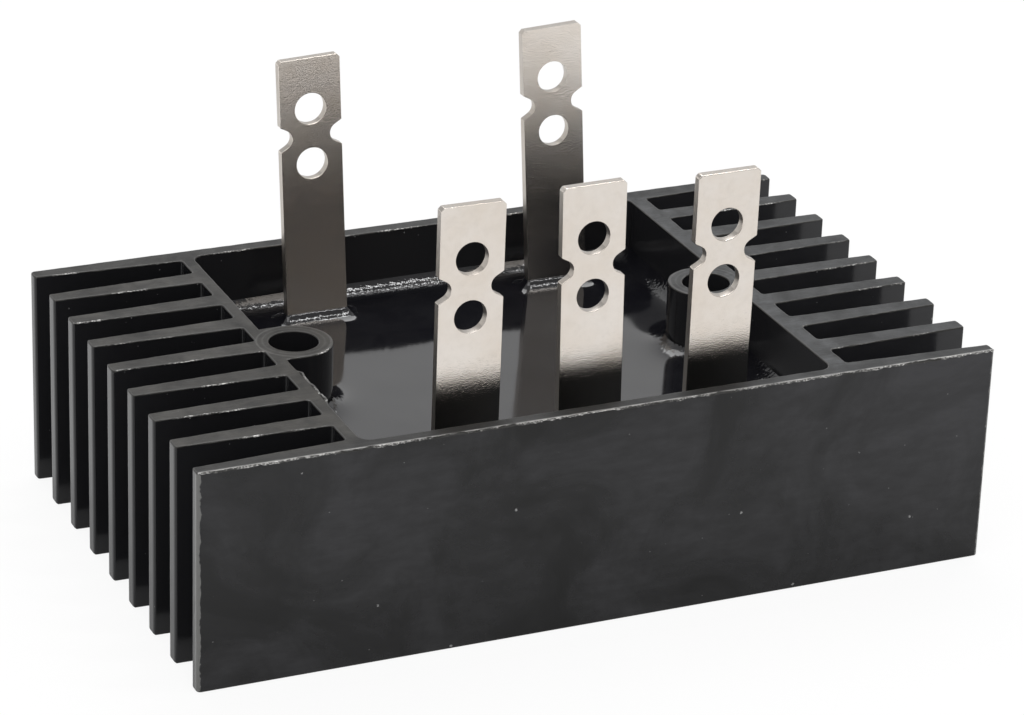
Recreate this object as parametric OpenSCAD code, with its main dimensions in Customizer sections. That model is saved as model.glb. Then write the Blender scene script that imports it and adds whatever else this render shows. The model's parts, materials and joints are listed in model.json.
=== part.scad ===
// Three-phase bridge rectifier module: a finned aluminium frame with a potted well,
// two screw bosses and five upright strip terminals.
// Origin: centre of the flat underside. +Z up, the input terminals on the -Y side.

/* [Frame] */
// Length of the frame, over the fin tips
frame_l = 92; // [88:0.5:110]
// Depth of the frame, over its two long walls
frame_d = 55.6; // [55:0.1:64]
// Height of the frame, which is the cut length of the extrusion
frame_h = 25; // [22:0.5:40]
// Thickness of each long wall beside the well
wall_t = 1.8; // [1.2:0.1:1.8]
// Mean thickness of the two webs, between the well's ends and the roots of the fins
web_t = 1.8; // [1.5:0.1:2.4]

/* [Fins] */
// Number of fins at each end, between the long walls
fin_count = 7; // [5:1:8]
// Thickness of a fin at its tip
fin_tip_t = 1.95; // [1.4:0.05:2.4]
// Thickness of a fin at its root
fin_root_t = 2.85; // [2.4:0.05:3.4]
// Thickness of the long walls at the tips of the fins
end_wall_tip_t = 1.7; // [1.4:0.05:2.2]
// Thickness of the long walls at the roots of the fins
end_wall_root_t = 2.6; // [2.2:0.05:3]
// Radius at the bottom corners of each gap
gap_root_r = 0.4; // [0.3:0.1:1.1]
// Corner cut along the edges of each fin tip
tip_cut = 0.35; // [0.1:0.05:0.4]
// Radius at the four upright corners of the frame
corner_r = 0.5; // [0.2:0.1:0.8]

/* [Well and screw bosses] */
// How far the well and the bosses sit off the frame's centre, along X
well_shift = -0.3; // [-0.5:0.1:0.5]
// Radius of the well's upright corners
well_corner_r = 1.4; // [0.4:0.1:2]
// Distance between the two screw holes
screw_spacing = 49.6; // [49:0.1:52]
// From a screw hole's centre to the well's end wall beside it
screw_inset = 2.4; // [1.6:0.1:2.6]
// Diameter of each screw hole
screw_hole_d = 5.4; // [4.3:0.1:6]
// Outer diameter of each boss
boss_d = 8.6; // [8:0.1:9.4]

/* [Potting] */
// Depth of the resin's surface below the rim
potting_depth = 7.5; // [4:0.1:9]
// Height of the boundary between the soft gel and the hard resin
gel_top = 9.5; // [8.5:0.1:11]
// Height and width of the meniscus along the walls and bosses
wall_meniscus = 1.2; // [0.6:0.1:2]
// Height and width of the meniscus round each terminal
strip_meniscus = 0.9; // [0.4:0.1:1.2]

/* [Terminals] */
// Width of a terminal strip
strip_w = 7.3; // [6.4:0.1:8]
// Thickness of a terminal strip
strip_t = 1; // [0.9:0.05:1.2]
// Heights of the input terminals' tops above the underside, as soldered by hand
ac_top = [47.5, 47.9, 47.9]; // [44:0.1:65]
// Heights of the output terminals' tops above the underside
dc_top = [49.2, 49.4]; // [44:0.1:65]
// Diameter of the holes in the strips
strip_hole_d = 3.7; // [3:0.1:4.4]
// From a strip's top edge to the centre of its upper hole
hole_inset = 6; // [3.5:0.05:8]
// Distance between the two holes of a strip
hole_pitch = 6.5; // [6:0.1:8]
// Depth of the waist notches
notch_depth = 1.4; // [0.9:0.1:1.6]
// Radius at the bottom of the waist notches
notch_r = 1.15; // [0.8:0.05:1.3]
// Slope of the waist notches' flanks, in degrees from the strip's width
notch_flank = 30; // [20:1:40]
// Corner cut at the top of a strip
strip_corner_cut = 0.35; // [0.2:0.05:1.2]
// Width of the foot that is soldered down
foot_w = 5; // [4:0.1:6]
// Length of the foot, from the middle of the strip
foot_l = 4.5; // [3:0.1:5]
// Thickness of the foot, which is pressed thinner than the strip
foot_t = 0.75; // [0.5:0.05:0.8]
// Inner radius of the bend above the foot
bend_r = 0.5; // [0.3:0.1:0.8]
// Straight length of the foot's leg, between the bend and the strip
leg_l = 0.5; // [0.3:0.1:1]
// How far the leg runs up inside the strip
leg_root = 1; // [0.6:0.1:1.6]

/* [Terminal places] */
// From the well's front wall to the middle of the input strips
ac_wall_gap = 5; // [4:0.1:5.4]
// From the well's back wall to the middle of the output strips
dc_wall_gap = 5.3; // [4:0.1:5.6]
// How far the middle input terminal sits off the middle of the tile, along X
ac_shift = 0.95; // [-0.5:0.05:1.5]
// From the ends of the tile to the outer input terminals, before that shift
ac_end_inset = 5.35; // [5.1:0.05:6.3]
// From the tile's -X end to the positive output terminal
dc_plus_inset = 6.35; // [4.4:0.05:12.4]
// From the tile's +X end to the negative output terminal
dc_minus_inset = 3.4; // [3.2:0.1:5]
// Sideways lean of the input terminals, as set by hand, in degrees
ac_lean = [-0.2, 0.9, 0.3]; // [-3:0.1:3]
// Backward tilt of the input terminals, in degrees
ac_tilt = [0, 0.2, -1.6]; // [-3:0.1:3]
// Sideways lean of the output terminals, in degrees
dc_lean = [2.3, 2.8]; // [-3.5:0.1:3.5]
// Backward tilt of the output terminals, in degrees
dc_tilt = [1.1, 1.5]; // [-3:0.1:3]

/* [Circuit] */
// Thickness of the metal base plate
base_t = 3; // [2:0.1:3.5]
// Gap between each end of the ceramic tile and the boss beside it
tile_boss_gap = 0.6; // [0.3:0.05:1]
// Gap between the ceramic tile and each long wall
tile_wall_gap = 2.5; // [2:0.1:2.9]
// Thickness of the ceramic tile
tile_t = 0.6; // [0.4:0.05:1]
// Thickness of the copper on the tile
copper_t = 0.3; // [0.2:0.05:0.5]
// Bare ceramic round the copper
tile_margin = 0.6; // [0.4:0.1:0.8]
// Gap between neighbouring copper pads
pad_gap = 1.2; // [0.8:0.1:1.6]
// Depth of the pad that carries the upper chips
plus_pad_d = 10; // [9:0.1:10.6]
// Y of the middle of that pad
plus_pad_y = 7.8; // [7.4:0.1:8.2]
// Depth of the pad that joins the lower chips
collector_d = 5.6; // [5:0.1:6.4]
// Length of the negative output pad, from the +X end
minus_pad_l = 12.5; // [11.6:0.1:13.4]
// Side of each square diode chip
chip_w = 5.4; // [4.5:0.1:5.6]
// Thickness of a diode chip
chip_t = 0.4; // [0.3:0.05:0.6]
// Width of the copper clips
clip_w = 3.4; // [2.4:0.1:4.2]
// Thickness of the copper clips
clip_t = 0.5; // [0.3:0.05:0.7]
// Clear height of the clips' arches above the pads
clip_rise = 1.7; // [1.4:0.1:2.2]
// Length of a clip's soldered foot
clip_foot_l = 1.6; // [1.2:0.1:1.9]
// From a pad's edge to the clip foot beside it
clip_inset = 0.5; // [0.2:0.1:0.7]

/* [Hidden] */
$fn = 64;
over = 1;

ANODISED = [0.07, 0.07, 0.07];
RESIN = [0.03, 0.03, 0.035];
NICKEL = [0.78, 0.76, 0.72];
COPPER = [0.72, 0.45, 0.2];
CERAMIC = [0.93, 0.92, 0.88];
SILICON = [0.3, 0.32, 0.36];
GEL = [0.85, 0.86, 0.88, 0.5];
PLATE = [0.7, 0.7, 0.7];

// Well: it is as long as the screws and their insets need, and the webs follow it
well_l = screw_spacing + 2 * screw_inset;
well_d = frame_d - 2 * wall_t;
web_l = well_l + 2 * web_t;
boss_x = screw_spacing / 2;
potting_top = frame_h - potting_depth;

// Fins: they share the depth evenly between the two long walls
fin_pitch = (frame_d - end_wall_tip_t / 2 - end_wall_root_t / 2) / (fin_count + 1);
gap_l = (frame_l - web_l) / 2;
function fin_y(k) = (k - (fin_count - 1) / 2) * fin_pitch;

// The stack of the circuit, from the base plate up
backing_z = base_t;
tile_z = backing_z + copper_t;
pad_z = tile_z + tile_t;
pad_top = pad_z + copper_t;
chip_top = pad_top + chip_t;
clip_z = pad_top + clip_rise;

// The tile lies between the bosses
tile_l = screw_spacing - boss_d - 2 * tile_boss_gap;
tile_d = well_d - 2 * tile_wall_gap;

// The rows of pads across the tile: input pads, minus collector, plus pad, output pads
pad_field_l = tile_l - 2 * tile_margin;
pad_field_d = tile_d - 2 * tile_margin;
front_edge = -pad_field_d / 2;
back_edge = pad_field_d / 2;
plus_front = plus_pad_y - plus_pad_d / 2;
plus_back = plus_pad_y + plus_pad_d / 2;
output_front = plus_back + pad_gap;
output_split = pad_field_l / 2 - minus_pad_l;
collector_back = plus_front - pad_gap;
collector_front = collector_back - collector_d;
ac_pad_back = collector_front - pad_gap;
ac_pad_l = (pad_field_l - 2 * pad_gap) / 3;
function ac_pad_x(k) = (k - 1) * (ac_pad_l + pad_gap);

// Each input pad has a column for its lower chip and one for its upper chip's clip
column_x = ac_pad_l / 4;
upper_chip_y = plus_pad_y;
bridge_x = ac_pad_x(2) - column_x;

// Terminals: bend_h is the height of a strip's lower end above its foot
bend_h = foot_t + bend_r + leg_l;
ac_pitch = tile_l / 2 - ac_end_inset;
ac_mid_x = well_shift + ac_shift;
ac_row = well_d / 2 - ac_wall_gap;
dc_row = well_d / 2 - dc_wall_gap;
dc_plus_x = well_shift - tile_l / 2 + dc_plus_inset;
dc_minus_x = well_shift + tile_l / 2 - dc_minus_inset;

// The lower chips lie midway between the terminals' feet and their pads' inner edge
lower_chip_y = (foot_l - ac_row + ac_pad_back) / 2;

// ---- outlines -------------------------------------------------------------------

// The frame's outer rectangle with its corners rounded
module frame_outline() {
    r = corner_r;
    square([frame_l - 2 * r, frame_d], center = true);
    square([frame_l, frame_d - 2 * r], center = true);
    for (x = [-1, 1], y = [-1, 1])
        translate([x * (frame_l / 2 - r), y * (frame_d / 2 - r)]) circle(r);
}

// One gap between fins, from its root at x = 0 to past its mouth at x = gap_l. The
// values are the gap's lower and upper edges at the root and at the tip.
module gap_outline(low_root, high_root, low_tip, high_tip) {
    function low_at(x) = low_root + (low_tip - low_root) * x / gap_l;
    function high_at(x) = high_root + (high_tip - high_root) * x / gap_l;
    r = gap_root_r;
    polygon([
        [0, low_at(r) + r], [r, low_at(r)],
        [gap_l - tip_cut, low_at(gap_l - tip_cut)], [gap_l + over, low_at(gap_l) - tip_cut - over],
        [gap_l + over, high_at(gap_l) + tip_cut + over], [gap_l - tip_cut, high_at(gap_l - tip_cut)],
        [r, high_at(r)], [0, high_at(r) - r]
    ]);
    for (y = [low_at(r) + r, high_at(r) - r]) translate([r, y]) circle(r);
}

// All the gaps at one end of the frame
module end_gaps() {
    for (k = [0 : fin_count]) {
        first = k == 0;
        last = k == fin_count;
        low_root = first ? -frame_d / 2 + end_wall_root_t : fin_y(k - 1) + fin_root_t / 2;
        low_tip = first ? -frame_d / 2 + end_wall_tip_t : fin_y(k - 1) + fin_tip_t / 2;
        high_root = last ? frame_d / 2 - end_wall_root_t : fin_y(k) - fin_root_t / 2;
        high_tip = last ? frame_d / 2 - end_wall_tip_t : fin_y(k) - fin_tip_t / 2;
        translate([web_l / 2, 0]) gap_outline(low_root, high_root, low_tip, high_tip);
    }
}

// A boss is a tongue from the well's end wall that ends in a half round
module boss_outline(side) {
    translate([side * boss_x, 0]) circle(d = boss_d);
    tongue_l = well_l / 2 - boss_x + over;
    translate([side * (boss_x + tongue_l / 2), 0]) square([tongue_l, boss_d], center = true);
}

module rounded_well() {
    r = well_corner_r;
    square([well_l - 2 * r, well_d], center = true);
    square([well_l, well_d - 2 * r], center = true);
    for (x = [-1, 1], y = [-1, 1])
        translate([x * (well_l / 2 - r), y * (well_d / 2 - r)]) circle(r);
}

// The open outline of the well, which the base plate, gel and resin all fill
module well_outline() {
    translate([well_shift, 0]) difference() {
        rounded_well();
        for (side = [-1, 1]) boss_outline(side);
    }
}

// The outline of a terminal strip, standing on x = 0 with its top at z = top
module strip_outline(top) {
    waist = top - hole_inset - hole_pitch / 2;
    cut = strip_corner_cut;
    difference() {
        polygon([
            [-strip_w / 2, 0], [strip_w / 2, 0],
            [strip_w / 2, top - cut], [strip_w / 2 - cut, top],
            [-strip_w / 2 + cut, top], [-strip_w / 2, top - cut]
        ]);
        for (side = [0, 1]) mirror([side, 0]) translate([strip_w / 2, waist]) notch_outline();
        for (k = [0, 1]) translate([0, top - hole_inset - k * hole_pitch]) circle(d = strip_hole_d);
    }
}

// A waist notch: straight flanks that touch a round bottom
module notch_outline() {
    reach = notch_depth - notch_r;
    touch_x = reach + notch_r * sin(notch_flank);
    touch_y = notch_r * cos(notch_flank);
    mouth = touch_y + touch_x * tan(notch_flank);
    translate([-reach, 0]) circle(notch_r);
    polygon([
        [-touch_x, -touch_y], [0, -mouth], [over, -mouth],
        [over, mouth], [0, mouth], [-touch_x, touch_y]
    ]);
}

// ---- frame ----------------------------------------------------------------------

module finned_frame() {
    color(ANODISED) difference() {
        linear_extrude(frame_h) difference() {
            frame_outline();
            well_outline();
            for (side = [0, 1]) mirror([side, 0]) end_gaps();
        }
        for (side = [-1, 1])
            translate([well_shift + side * boss_x, 0, -over])
                cylinder(d = screw_hole_d, h = frame_h + 2 * over);
    }
}

module base_plate() {
    color(PLATE) linear_extrude(base_t) well_outline();
}

// ---- circuit --------------------------------------------------------------------

// A flat block from one corner to the other, at the height z
module slab(x0, y0, x1, y1, z, t) {
    translate([well_shift + x0, y0, z]) cube([x1 - x0, y1 - y0, t]);
}

module pad(x0, y0, x1, y1) {
    color(COPPER) slab(x0, y0, x1, y1, pad_z, copper_t);
}

module substrate_backing() {
    color(COPPER) slab(-pad_field_l / 2, front_edge, pad_field_l / 2, back_edge, backing_z, copper_t);
}

module ceramic_substrate() {
    color(CERAMIC) slab(-tile_l / 2, -tile_d / 2, tile_l / 2, tile_d / 2, tile_z, tile_t);
}

// The plus pad has the three upper chips in a row and a wide arm to its terminal
module dc_plus_pad() {
    pad(-pad_field_l / 2, plus_front, pad_field_l / 2, plus_back);
    pad(-pad_field_l / 2, plus_back, output_split - pad_gap, back_edge);
}

module dc_minus_pad() {
    pad(output_split, output_front, pad_field_l / 2, back_edge);
}

module minus_collector_pad() {
    pad(-pad_field_l / 2, collector_front, pad_field_l / 2, collector_back);
}

module ac_pad(k) {
    pad(ac_pad_x(k) - ac_pad_l / 2, front_edge, ac_pad_x(k) + ac_pad_l / 2, ac_pad_back);
}

module chip(x, y) {
    color(SILICON) slab(x - chip_w / 2, y - chip_w / 2, x + chip_w / 2, y + chip_w / 2, pad_top, chip_t);
}

module upper_diode(k) {
    chip(ac_pad_x(k) + column_x, upper_chip_y);
}

module lower_diode(k) {
    chip(ac_pad_x(k) - column_x, lower_chip_y);
}

// A bent clip: it lands at the height za behind y = ya and at the height zb in front
// of y = yb, with an arch between them
module clip(x, ya, za, yb, zb) {
    miter = clip_t * tan(22.5);
    arch_a = ya - (clip_z - za);
    arch_b = yb + (clip_z - zb);
    color(COPPER) translate([well_shift + x - clip_w / 2, 0, 0]) rotate([90, 0, 90])
        linear_extrude(clip_w) polygon([
            [ya + clip_foot_l, za], [ya, za], [arch_a, clip_z],
            [arch_b, clip_z], [yb, zb], [yb - clip_foot_l, zb],
            [yb - clip_foot_l, zb + clip_t], [yb - miter, zb + clip_t], [arch_b - miter, clip_z + clip_t],
            [arch_a + miter, clip_z + clip_t], [ya + miter, za + clip_t], [ya + clip_foot_l, za + clip_t]
        ]);
}

module upper_clip(k) {
    clip(ac_pad_x(k) + column_x, upper_chip_y - clip_foot_l / 2, chip_top, ac_pad_back - clip_inset, pad_top);
}

module lower_clip(k) {
    mirror([0, 1, 0])
        clip(ac_pad_x(k) - column_x, -lower_chip_y - clip_foot_l / 2, chip_top,
             -collector_front - clip_inset, pad_top);
}

module minus_bridge() {
    clip(bridge_x, output_front + clip_inset, pad_top, collector_back - clip_inset, pad_top);
}

// ---- terminals ------------------------------------------------------------------

// The foot in side view: along +X inward, then up through the bend
module foot_outline() {
    outer_r = bend_r + foot_t;
    centre = bend_r + foot_t / 2;
    translate([centre, 0]) square([foot_l - centre, foot_t]);
    translate([-foot_t / 2, outer_r]) square([foot_t, bend_h - outer_r + leg_root]);
    translate([centre, outer_r]) intersection() {
        difference() {
            circle(outer_r);
            circle(bend_r);
        }
        translate([-outer_r, -outer_r]) square(outer_r);
    }
}

// inward is 1 where the foot points to +Y and -1 where it points to -Y
module terminal(x, y, inward, top, lean, tilt) {
    color(NICKEL) translate([x, y, pad_top]) {
        scale_y = inward > 0 ? 0 : 1;
        mirror([0, scale_y, 0]) translate([-foot_w / 2, 0, 0]) rotate([90, 0, 90])
            linear_extrude(foot_w) foot_outline();
        translate([0, 0, bend_h]) rotate([-tilt, -lean, 0]) translate([0, strip_t / 2, 0])
            rotate([90, 0, 0]) linear_extrude(strip_t) strip_outline(top - pad_top - bend_h);
    }
}

module ac_terminal(k) {
    terminal(ac_mid_x + (k - 1) * ac_pitch, -ac_row, 1, ac_top[k], ac_lean[k], ac_tilt[k]);
}

module dc_terminal(k) {
    terminal(k == 0 ? dc_plus_x : dc_minus_x, dc_row, -1, dc_top[k], dc_lean[k], dc_tilt[k]);
}

module all_terminals() {
    for (k = [0 : 2]) ac_terminal(k);
    for (k = [0 : 1]) dc_terminal(k);
}

// ---- potting --------------------------------------------------------------------

// A concave fillet in section, with its upright side on x = 0
module meniscus_section(size) {
    difference() {
        translate([-0.2, -0.2]) square(size + 0.2);
        translate([size, size]) circle(size);
    }
}

// The same fillet along a wall from (0, 0) to (length, 0), facing +Y
module meniscus_strip(length, size) {
    rotate([90, 0, 90]) linear_extrude(length) meniscus_section(size);
}

module wall_meniscus_ring() {
    for (turn = [0, 180]) rotate([0, 0, turn]) {
        translate([-well_l / 2, -well_d / 2, 0]) meniscus_strip(well_l, wall_meniscus);
        translate([well_l / 2, -well_d / 2, 0]) rotate([0, 0, 90]) meniscus_strip(well_d, wall_meniscus);
    }
    for (side = [-1, 1]) translate([side * boss_x, 0, 0])
        rotate_extrude() translate([boss_d / 2, 0]) meniscus_section(wall_meniscus);
    tongue_l = well_l / 2 - boss_x;
    for (side = [0, 1], flip = [0, 1]) mirror([side, 0, 0]) mirror([0, flip, 0])
        translate([boss_x, boss_d / 2, 0]) meniscus_strip(tongue_l, wall_meniscus);
}

// The meniscus round one strip: four straight runs and four round corners
module strip_meniscus_ring() {
    for (turn = [0, 180]) rotate([0, 0, turn]) {
        translate([-strip_w / 2, strip_t / 2, 0]) meniscus_strip(strip_w, strip_meniscus);
        translate([strip_w / 2, strip_t / 2, 0]) rotate([0, 0, -90]) meniscus_strip(strip_t, strip_meniscus);
        for (x = [-1, 1]) translate([x * strip_w / 2, strip_t / 2, 0])
            rotate_extrude() intersection() {
                meniscus_section(strip_meniscus);
                translate([0, -over]) square(strip_meniscus + over);
            }
    }
}

// Places its child where a leaning strip comes out of the resin
module at_strip_exit(x, y, lean, tilt) {
    rise = potting_top - pad_top - bend_h;
    translate([x - rise * tan(lean), y + rise * tan(tilt), potting_top]) children();
}

module all_strip_rings() {
    for (k = [0 : 2])
        at_strip_exit(ac_mid_x + (k - 1) * ac_pitch, -ac_row, ac_lean[k], ac_tilt[k]) strip_meniscus_ring();
    for (k = [0 : 1])
        at_strip_exit(k == 0 ? dc_plus_x : dc_minus_x, dc_row, dc_lean[k], dc_tilt[k]) strip_meniscus_ring();
}

module epoxy_potting() {
    color(RESIN) difference() {
        union() {
            translate([0, 0, gel_top]) linear_extrude(potting_top - gel_top) well_outline();
            intersection() {
                translate([well_shift, 0, potting_top]) wall_meniscus_ring();
                translate([0, 0, gel_top]) linear_extrude(frame_h - gel_top) well_outline();
            }
            all_strip_rings();
        }
        all_terminals();
    }
}

module silicone_gel() {
    color(GEL) difference() {
        translate([0, 0, base_t]) linear_extrude(gel_top - base_t) well_outline();
        substrate_backing();
        ceramic_substrate();
        dc_plus_pad();
        dc_minus_pad();
        minus_collector_pad();
        for (k = [0 : 2]) {
            ac_pad(k);
            upper_diode(k);
            lower_diode(k);
            upper_clip(k);
            lower_clip(k);
        }
        minus_bridge();
        all_terminals();
    }
}

// ---- nodes ----------------------------------------------------------------------

finned_frame();
base_plate();
substrate_backing();
ceramic_substrate();
dc_plus_pad();
dc_minus_pad();
minus_collector_pad();
ac_pad(0);  // ac_pad_1
ac_pad(1);  // ac_pad_2
ac_pad(2);  // ac_pad_3
upper_diode(0);  // upper_diode_1
upper_diode(1);  // upper_diode_2
upper_diode(2);  // upper_diode_3
lower_diode(0);  // lower_diode_1
lower_diode(1);  // lower_diode_2
lower_diode(2);  // lower_diode_3
upper_clip(0);  // upper_clip_1
upper_clip(1);  // upper_clip_2
upper_clip(2);  // upper_clip_3
lower_clip(0);  // lower_clip_1
lower_clip(1);  // lower_clip_2
lower_clip(2);  // lower_clip_3
minus_bridge();
ac_terminal(0);  // ac_terminal_1
ac_terminal(1);  // ac_terminal_2
ac_terminal(2);  // ac_terminal_3
dc_terminal(0);  // dc_plus_terminal
dc_terminal(1);  // dc_minus_terminal
silicone_gel();
epoxy_potting();
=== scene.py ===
"""Looks for a three-phase bridge rectifier module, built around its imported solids.

Every size is in metres, in the frame of the solids: +Z up, the input terminals on the -Y side.
"""

import json
import math

import bmesh
import bpy
from bpy.props import FloatProperty, FloatVectorProperty, PointerProperty
from mathutils import Euler, Matrix, Vector, noise


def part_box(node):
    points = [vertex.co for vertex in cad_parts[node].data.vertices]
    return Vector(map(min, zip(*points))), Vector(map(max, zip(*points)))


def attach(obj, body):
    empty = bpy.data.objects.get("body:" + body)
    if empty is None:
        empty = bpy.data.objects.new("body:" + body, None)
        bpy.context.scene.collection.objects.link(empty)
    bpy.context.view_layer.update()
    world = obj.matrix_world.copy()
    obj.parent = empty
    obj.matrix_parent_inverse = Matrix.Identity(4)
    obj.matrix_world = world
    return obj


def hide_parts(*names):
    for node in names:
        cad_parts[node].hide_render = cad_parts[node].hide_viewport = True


bl_info = {
    "name": "Bridge Rectifier Module",
    "version": (1, 0, 0),
    "blender": (4, 5, 0),
    "location": "View3D > Sidebar > Rectifier",
    "description": "Builds the finish of a finned, resin-filled three-phase bridge rectifier",
    "category": "Object",
}

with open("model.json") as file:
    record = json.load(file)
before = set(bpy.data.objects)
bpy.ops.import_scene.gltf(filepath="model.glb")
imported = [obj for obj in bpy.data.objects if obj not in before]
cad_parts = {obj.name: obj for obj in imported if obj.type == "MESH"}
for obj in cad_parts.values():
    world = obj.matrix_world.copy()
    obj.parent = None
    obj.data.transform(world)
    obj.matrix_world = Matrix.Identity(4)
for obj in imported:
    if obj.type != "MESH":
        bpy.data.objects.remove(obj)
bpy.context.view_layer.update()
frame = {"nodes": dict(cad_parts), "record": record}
ROOT = "root"
MM = 0.001

# An edge of a solid is sharp where its faces meet at more than this
SHARP = math.radians(30)
# Two faces are one flat face where they meet at less than this
FLAT = math.radians(0.3)
# Points nearer than this are one point
MERGE_REACH = 0.001 * MM
# Points nearer to a cutting plane than this lie on it
CUT_REACH = 0.0001 * MM

TERMINALS = (
    "ac_terminal_1",
    "ac_terminal_2",
    "ac_terminal_3",
    "dc_plus_terminal",
    "dc_minus_terminal",
)
COPPER_NODES = (
    "substrate_backing",
    "dc_plus_pad",
    "dc_minus_pad",
    "minus_collector_pad",
    "minus_bridge",
    "ac_pad_1",
    "ac_pad_2",
    "ac_pad_3",
    "upper_clip_1",
    "upper_clip_2",
    "upper_clip_3",
    "lower_clip_1",
    "lower_clip_2",
    "lower_clip_3",
)
CHIP_NODES = (
    "upper_diode_1",
    "upper_diode_2",
    "upper_diode_3",
    "lower_diode_1",
    "lower_diode_2",
    "lower_diode_3",
)
SCREW_HOLES = ("screw_hole_left", "screw_hole_right")


# ---- settings ---------------------------------------------------------------------


class RectifierSizes(bpy.types.PropertyGroup):
    """Sizes of the detail that the finish adds to the solids"""

    rim_round: FloatProperty(
        name="Rim rounding",
        description="Rounding along the sawn rims of the frame",
        default=0.16 * MM,
        unit="LENGTH",
    )
    tip_round: FloatProperty(
        name="Tip rounding",
        description="Rounding along the upright edges at the tips of the fins",
        default=0.14 * MM,
        unit="LENGTH",
    )
    rim_step: FloatProperty(
        name="Rim step",
        description="Spacing of the points that make the rims ragged",
        default=0.22 * MM,
        unit="LENGTH",
    )
    burr: FloatProperty(
        name="Burr height",
        description="Greatest size of the saw burr along the top rims",
        default=0.22 * MM,
        unit="LENGTH",
    )
    strip_round: FloatProperty(
        name="Strip edge rounding",
        description="Rounding along the stamped edges of the terminals",
        default=0.13 * MM,
        unit="LENGTH",
    )
    resin_step: FloatProperty(
        name="Resin grid",
        description="Spacing of the grid that carries the resin's surface",
        default=0.22 * MM,
        unit="LENGTH",
    )
    wall_rise: FloatProperty(
        name="Wall meniscus",
        description="How far the resin climbs the walls of the well",
        default=1.5 * MM,
        unit="LENGTH",
    )
    wall_reach: FloatProperty(
        name="Wall meniscus reach",
        description="Distance over which the wall meniscus dies away",
        default=1.05 * MM,
        unit="LENGTH",
    )
    strip_rise: FloatProperty(
        name="Strip meniscus",
        description="How far the resin climbs the terminals",
        default=1.2 * MM,
        unit="LENGTH",
    )
    strip_reach: FloatProperty(
        name="Strip meniscus reach",
        description="Distance over which the meniscus at a terminal dies away",
        default=0.7 * MM,
        unit="LENGTH",
    )


class RectifierColours(bpy.types.PropertyGroup):
    """Colours of the finishes"""

    black_finish: FloatVectorProperty(
        name="Black finish",
        description="Black finish on the drawn faces of the frame",
        subtype="COLOR",
        size=3,
        default=(0.0016, 0.0016, 0.0018),
    )
    sawn_finish: FloatVectorProperty(
        name="Sawn faces",
        description="Black finish over the sawn faces of the frame",
        subtype="COLOR",
        size=3,
        default=(0.036, 0.033, 0.028),
    )
    bare_metal: FloatVectorProperty(
        name="Bare aluminium",
        description="Metal that shows where an edge is worn",
        subtype="COLOR",
        size=3,
        default=(0.72, 0.71, 0.69),
    )
    resin: FloatVectorProperty(
        name="Resin",
        description="Colour of the potting resin",
        subtype="COLOR",
        size=3,
        default=(0.0055, 0.0055, 0.0075),
    )
    nickel: FloatVectorProperty(
        name="Nickel",
        description="Plating on the terminals",
        subtype="COLOR",
        size=3,
        default=(0.72, 0.67, 0.62),
    )
    floor: FloatVectorProperty(
        name="Floor",
        description="Colour of the floor",
        subtype="COLOR",
        size=3,
        default=(0.95, 0.95, 0.95),
    )


class RectifierView(bpy.types.PropertyGroup):
    """The camera and the lamps"""

    place: FloatVectorProperty(
        name="Camera place",
        description="Where the camera stands",
        subtype="TRANSLATION",
        size=3,
        default=(-0.169312, -0.37389, 0.20148),
    )
    azimuth: FloatProperty(
        name="Azimuth",
        description="Turn of the camera about the vertical",
        subtype="ANGLE",
        default=math.radians(-24.4725),
    )
    elevation: FloatProperty(
        name="Elevation",
        description="How far the camera looks down",
        subtype="ANGLE",
        default=math.radians(23.9302),
    )
    roll: FloatProperty(
        name="Roll",
        description="Turn of the camera about its own axis",
        subtype="ANGLE",
        default=math.radians(2.0033),
    )
    lens: FloatProperty(
        name="Lens",
        description="Focal length in millimetres, for a 36 mm wide sensor",
        default=142.345,
    )
    lamp_power: FloatProperty(
        name="Lamp power",
        description="Power of the larger soft lamp",
        default=5.5,
    )
    room_light: FloatProperty(
        name="Room light",
        description="Strength of the even light from all round",
        default=0.45,
    )


# ---- mesh helpers -----------------------------------------------------------------


def settings():
    """The three groups of values"""
    scene = bpy.context.scene
    return scene.rectifier_sizes, scene.rectifier_colours, scene.rectifier_view


def new_object(name, bm):
    """Makes an object at the origin from a finished bmesh"""
    mesh = bpy.data.meshes.new(name)
    bm.to_mesh(mesh)
    bm.free()
    obj = bpy.data.objects.new(name, mesh)
    bpy.context.collection.objects.link(obj)
    return obj


def merged_solid(node, cuts=()):
    """A bmesh of a CAD node with its flat faces whole, but parted along the given planes"""
    bm = bmesh.new()
    bm.from_mesh(frame["nodes"][node].data)
    bmesh.ops.remove_doubles(bm, verts=bm.verts, dist=MERGE_REACH)
    for point, normal in cuts:
        geom = [*bm.verts, *bm.edges, *bm.faces]
        made = bmesh.ops.bisect_plane(
            bm, geom=geom, dist=CUT_REACH, plane_co=point, plane_no=normal
        )
        for part in made["geom_cut"]:
            if isinstance(part, bmesh.types.BMEdge):
                part.seam = True
    bmesh.ops.dissolve_limit(
        bm,
        angle_limit=FLAT,
        verts=bm.verts,
        edges=bm.edges,
        delimit={"NORMAL", "SEAM"},
    )
    return bm


def sharp_edges(bm, angle):
    """The edges where two faces meet at more than the angle"""
    return [e for e in bm.edges if e.is_manifold and e.calc_face_angle() > angle]


def cut_edges(bm, edges, step):
    """Divides edges into pieces about step long"""
    by_cuts = {}
    for edge in edges:
        cuts = int(edge.calc_length() / step)
        if cuts:
            by_cuts.setdefault(cuts, []).append(edge)
    for cuts, group in by_cuts.items():
        bmesh.ops.bisect_edges(bm, edges=group, cuts=cuts)


def round_edges(bm, edges, radius, segments):
    """Rounds edges and returns the new faces"""
    result = bmesh.ops.bevel(
        bm,
        geom=edges,
        affect="EDGES",
        offset=radius,
        offset_type="OFFSET",
        segments=segments,
        profile=0.5,
        material=-1,
        clamp_overlap=True,
    )
    return result["faces"]


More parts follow.
